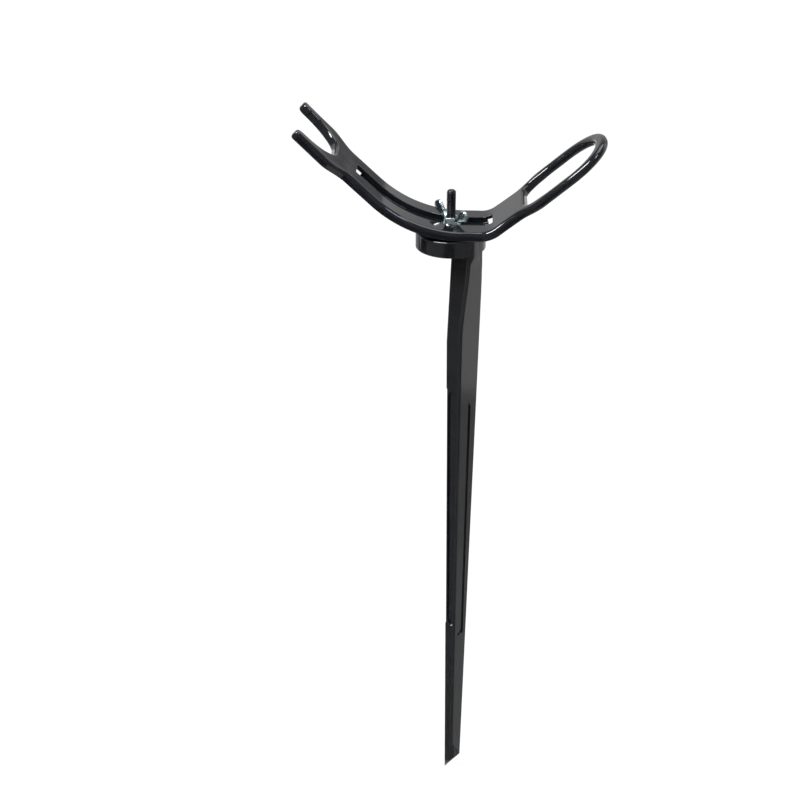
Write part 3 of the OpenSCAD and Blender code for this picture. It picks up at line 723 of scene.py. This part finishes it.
def buildWing(c):  # drawn flat, thinned and dished away from its rim, then stood up
    lobe = c["lobe"] / 2
    rim = arcPoints(c["span"] / 2 - lobe, c["height"] - lobe, lobe, c["lowerStart"], c["upperEnd"], 40)
    lower = bezier(np.array([c["rootIn"], c["lowRoot"]]), np.array(c["lowerPull"]), rim[0])
    upper = bezier(rim[-1], np.array(c["upperPull"]), np.array([c["rootIn"], c["highRoot"]]))
    curve, out = closedCurve(np.concatenate([lower, rim[1:], upper[1:]]), 0.6, 0.3)
    rows = [edgeRows("top", c["wing"] / 2, c["wingEdge"], 5, 0.15),
            edgeRows("bottom", -c["wing"] / 2, c["wingEdge"], 5, 0.15)]
    flat, quads, triangles = slab(curve, out, rows, 0.45)
    along, up, side = flat.T
    inside = np.linalg.norm(flat[:, None, :2] - curve[None], axis=2).min(1)
    dish = c["dish"] * smoothStep((inside - c["dishRim"]) / c["dishSlope"])
    dish = dish * smoothStep((along - c["dishStart"]) / c["dishRun"])
    thick = mix(c["rootShare"], 1, smoothStep((along - c["thinStart"]) / c["thinRun"]))
    return np.stack([along, np.sign(side) * dish - side * thick, up], 1), quads, triangles


def buildNut(c):
    lift = [0, 0, c["bottom"]]
    hub, hubQuads = buildHub(c)
    wing, quads, triangles = buildWing(c)
    return [(hub + lift, hubQuads, []), *((turnAboutZ(wing, c["turn"] + half) + lift, quads, triangles)
                                          for half in (0, 180))]


def twoTones(tree, tones, share):  # a colour between two close tones
    settings = {"data_type": "RGBA", "A": linearFromHex(tones[0]), "B": linearFromHex(tones[1])}
    return addNode(tree, "ShaderNodeMix", settings, {"Factor": share}).outputs["Result"]


def addNoise(tree, scale, detail):  # in the piece's own coordinates, so that it moves with the piece
    place = addNode(tree, "ShaderNodeTexCoord").outputs["Object"]
    noise = addNode(tree, "ShaderNodeTexNoise", {"Scale": scale, "Detail": detail}, {"Vector": place})
    return noise.outputs["Fac"]


def addBump(tree, distance, links):  # distance in metres
    return addNode(tree, "ShaderNodeBump", {"Strength": 1.0, "Distance": distance}, links).outputs["Normal"]


# Injection-moulded ABS: black, a clear gloss with slight sink and flow marks and fine wiping scratches.
# Scales 90 and 900 make clouds of about 11 mm and a grain of about 1 mm; real scratches are finer.
plasticLook = {"cloudScale": 90.0, "grainScale": 900.0, "wave": 0.000006, "scratch": 0.0000015}


def mouldedPlastic(c, name, tones, roughness, ior):
    material, tree = emptyMaterial(name)
    cloud, grain = addNoise(tree, c["cloudScale"], 3.0), addNoise(tree, c["grainScale"], 2.0)
    waves = addBump(tree, c["wave"], {"Height": cloud})
    addShader(tree, {"IOR": ior, "Metallic": 0.0}, {
        "Base Color": twoTones(tree, tones, spread(tree, cloud, 0, 1)),
        "Roughness": spread(tree, cloud, *roughness),
        "Normal": addBump(tree, c["scratch"], {"Height": grain, "Normal": waves})})
    return material


def finishedMetal(name, tones, metallic, roughness, grainSize, grainDepth, cloudScale=350.0):
    # Steel or cast zinc under a thin finish: two close tones in soft 3 mm clouds, and a fine grain
    material, tree = emptyMaterial(name)
    cloud, grain = addNoise(tree, cloudScale, 3.0), addNoise(tree, 1 / grainSize, 2.0)
    addShader(tree, {"Metallic": metallic}, {
        "Base Color": twoTones(tree, tones, spread(tree, cloud, 0, 1)),
        "Roughness": spread(tree, grain, *roughness),
        "Normal": addBump(tree, grainDepth, {"Height": grain})})
    return material


# The stake's plastic is a little darker, with a softer gloss but a slightly stronger reflection
cradlePlastic = mouldedPlastic(plasticLook, "polished ABS", ("#0e0f12", "#15161a"), (0.06, 0.11), 1.53)
stakePlastic = mouldedPlastic(plasticLook, "plain moulded ABS", ("#0d0e10", "#131417"), (0.07, 0.12), 1.6)
# Black oxide on steel: blue black, half gloss, a little uneven where it has been handled
blackSteel = finishedMetal("black oxide steel", ("#17171a", "#27272b"), 0.7, (0.24, 0.38), 0.0008, 0.00001)
# Blue passivated zinc over a casting: bright, faintly blue green, with the skin of the die showing
zincPlate = finishedMetal("blue passivated zinc", ("#9fb6bd", "#d2dcdc"), 1.0, (0.12, 0.26), 0.0012, 0.00003)

makePiece("cradle_moulding", buildCradle(cradleSizes, cradleEdges), cradlePlastic, "cradle", "cradle_body")
makePiece("stake_moulding", [buildBlade(stakeSizes), *buildHead(headSizes)], stakePlastic, "stake",
          "stake_body")
makePiece("threaded_bolt", buildBolt(boltSizes), blackSteel, "bolt", "stake_body")
makePiece("plain_washer", buildWasher(washerSizes), zincPlate, "washer", "swivel_body")
makePiece("cast_wing_nut", buildNut(nutSizes), zincPlate, "wing_nut", "nut_body")

# The stage is in metres: a floor of white paper that curves up into a wall behind
stageSizes = {
    "floorReach": 14.0, "wallDistance": 1.9, "wallHeight": 2.4, "sweep": 0.6,
    "paper": "#f4f4f4", "roughness": 0.9, "glow": 1.03, "glowShare": 0.92,
}


def paperWhite(c):  # the paper also glows, by a share, to rays from the camera, a gloss or a clear piece
    material, tree = emptyMaterial("white paper")
    shader = addNode(tree, "ShaderNodeBsdfPrincipled", {"Base Color": linearFromHex(c["paper"]),
                                                        "Roughness": c["roughness"]})
    glow = addNode(tree, "ShaderNodeEmission", {"Color": (1, 1, 1, 1), "Strength": c["glow"]})
    path = addNode(tree, "ShaderNodeLightPath").outputs
    seen = path["Is Camera Ray"]
    for ray in ("Is Glossy Ray", "Is Transmission Ray"):
        seen = addNode(tree, "ShaderNodeMath", {"operation": "MAXIMUM"}, {0: seen, 1: path[ray]}).outputs[0]
    share = addNode(tree, "ShaderNodeMath", {"operation": "MULTIPLY", 1: c["glowShare"]}, {0: seen})
    mixed = addNode(tree, "ShaderNodeMixShader",
                    links={0: share.outputs[0], 1: shader.outputs[0], 2: glow.outputs[0]})
    addNode(tree, "ShaderNodeOutputMaterial", links={"Surface": mixed.outputs[0]})
    return material


def buildStage(c):  # the floor's profile is carried across
    turn = np.radians(np.linspace(0, 90, 17))
    y = np.concatenate([[-c["floorReach"]], c["wallDistance"] - c["sweep"] + c["sweep"] * np.sin(turn),
                        [c["wallDistance"]]])
    z = np.concatenate([[0], c["sweep"] * (1 - np.cos(turn)), [c["wallHeight"]]])
    points = [(x, *place) for x in (-c["floorReach"], c["floorReach"]) for place in zip(y, z)]
    mesh = bpy.data.meshes.new("floor")
    mesh.from_pydata(points, [], gridFaces(np.arange(len(points)).reshape(2, -1))[:, ::-1].tolist())
    mesh.shade_smooth()
    mesh.materials.append(paperWhite(c))
    addObject("floor", mesh)


# Grey cards that only reflections see: they give the black gloss its light and dark sides.
# A flat one has its left, near, right and far edge and its level, where 1 is white.
cardHeight = 0.004
cardReach = stageSizes["floorReach"] - 0.1
flatCards = {
    "front": (-0.3, -cardReach, 0.2, -0.35, 0.06),
    "frontLeft": (-cardReach, -cardReach, -0.3, -0.35, 0.26),
    "frontRight": (0.2, -cardReach, cardReach, -0.35, 0.24),
    "rightFront": (0.5, -0.35, cardReach, -0.1, 0.24),
    "leftFront": (-cardReach, -0.35, -0.8, -0.08, 0.3),
    "leftFar": (-cardReach, -0.08, -0.8, 0.33, 0.06),
    "leftNear": (-0.8, -0.35, 0.0, 0.5, 0.17),
    "backLeft": (-1.8, 0.5, -0.3, 1.4, 0.5),
    "rightNear": (0.0, -0.35, 0.25, 0.5, 0.6),
    "rightMiddle": (0.25, -0.35, 0.5, 0.5, 0.5),
    "rightBack": (0.5, 0.25, 2.5, 1.2, 0.68),
}
# A standing one has its left, bottom, right and top edge, its distance, and its levels at bottom and top
standingCards = {
    "back": (-1.6, 0.45, 1.6, 2.2, 1.7, 0.72, 0.3),
    "backCorner": (0.4, 0.2, 1.5, 0.56, 1.69, 0.1, 0.22),
}


def addCard(name, corners, levels, axis):  # the level runs evenly from the first to the third corner
    mesh = bpy.data.meshes.new(name)
    mesh.from_pydata(corners, [], [(0, 1, 2, 3)])
    material, tree = emptyMaterial(name)
    place = addNode(tree, "ShaderNodeTexCoord").outputs["Object"]
    split = addNode(tree, "ShaderNodeSeparateXYZ", links={"Vector": place})
    level = addNode(tree, "ShaderNodeMapRange", {"From Min": corners[0][axis], "From Max": corners[2][axis],
                                                 "To Min": levels[0], "To Max": levels[1]},
                    {"Value": split.outputs[axis]})
    glow = addNode(tree, "ShaderNodeEmission", links={"Strength": level.outputs["Result"]})
    addNode(tree, "ShaderNodeOutputMaterial", links={"Surface": glow.outputs["Emission"]})
    mesh.materials.append(material)
    card = addObject(name, mesh)
    for ray in ("camera", "diffuse", "transmission", "shadow"):
        setattr(card, "visible_" + ray, False)


buildStage(stageSizes)
for name, (left, near, right, far, level) in flatCards.items():
    corners = [(x, y, cardHeight) for x, y in ((left, near), (right, near), (right, far), (left, far))]
    addCard(name, corners, (level, level), 1)
for name, (left, bottom, right, top, distance, *levels) in standingCards.items():
    corners = [(x, distance, z) for x, z in ((left, bottom), (right, bottom), (right, top), (left, top))]
    addCard(name, corners, levels, 2)
print("floor and", len(flatCards) + len(standingCards), "cards placed")

# Soft boxes that face the head: direction, distance, width, depth, power and colour
lampAim = (0.0, 0.0, 0.36)
lamps = {
    "keyLamp": ((-0.42, -0.3, 0.8), 1.5, 1.0, 0.4, 44, "#ffffff"),
    "fillLamp": ((0.62, -0.32, 0.71), 1.6, 0.35, 0.35, 5, "#dbe6ff"),
    "topLamp": ((0.35, 0.3, 1.0), 1.8, 1.2, 1.2, 14, "#ffffff"),
}


def addLamp(name, towards, distance, width, depth, power, colour):
    direction = np.array(towards) / np.linalg.norm(towards)
    side = np.cross([0.0, 1.0, 0.0], direction)  # the lamp's width runs across the view
    side /= np.linalg.norm(side)
    data = bpy.data.lights.new(name, "AREA")
    data.shape = "RECTANGLE"
    data.size = width
    data.size_y = depth
    data.energy = power
    data.color = linearFromHex(colour)[:3]
    lamp = addObject(name, data)
    lamp.location = lampAim + direction * distance
    lamp.rotation_euler = Matrix([side, np.cross(direction, side), direction]).transposed().to_euler()


for name, settings in lamps.items():
    addLamp(name, *settings)

world = bpy.data.worlds.new("studio")
bpy.context.scene.world = world
world.use_nodes = True
world.node_tree.nodes["Background"].inputs["Color"].default_value = (0.22, 0.22, 0.23, 1)

# The camera stands where the photograph was taken from: metres, degrees, and millimetres for the lens
cameraPlace = {
    "place": (0.00787, -0.90182, 0.7153), "yaw": 2.2332, "pitch": 26.9137, "lens": 81.0, "sensor": 36.0,
}
cameraData = bpy.data.cameras.new("camera")
cameraData.lens = cameraPlace["lens"]
cameraData.sensor_width = cameraPlace["sensor"]
camera = addObject("camera", cameraData)
camera.location = cameraPlace["place"]
camera.rotation_euler = (math.radians(90 - cameraPlace["pitch"]), 0, math.radians(cameraPlace["yaw"]))
bpy.context.scene.camera = camera
bpy.context.scene.view_settings.view_transform = "Standard"
print("camera and", len(lamps), "lamps placed")
